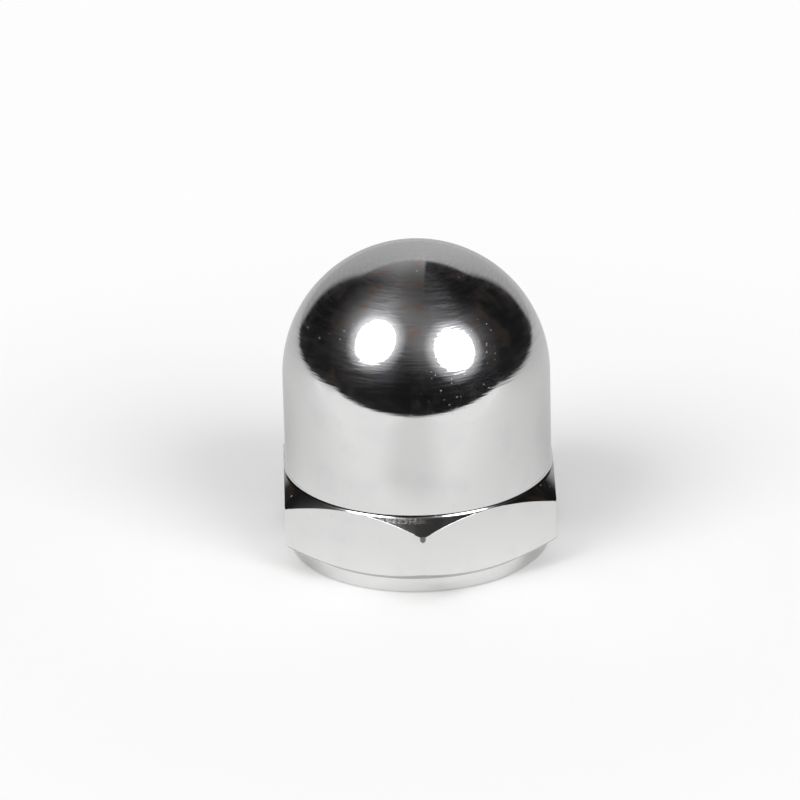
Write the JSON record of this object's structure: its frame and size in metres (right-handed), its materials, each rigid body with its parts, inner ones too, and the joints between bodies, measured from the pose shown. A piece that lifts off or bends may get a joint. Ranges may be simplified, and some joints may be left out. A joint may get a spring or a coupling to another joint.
{
  "type": "cap nut",
  "caption": "Domed cap nut with a short chamfered hex, a tall plain barrel ending in a half-round dome, a round bearing collar and a blind threaded hole from below.",
  "frame": {"origin": "centre of the collar's bearing face", "axes": "+Z along the thread's axis towards the dome, -Y towards one corner of the hex"},
  "size_m": [0.017, 0.0196, 0.0198],
  "materials": {
    "chrome_plate": "polished chrome plate with fine polishing lines"
  },
  "bodies": {
    "root": {"cap_nut": "chrome_plate"}
  },
  "joints": []
}
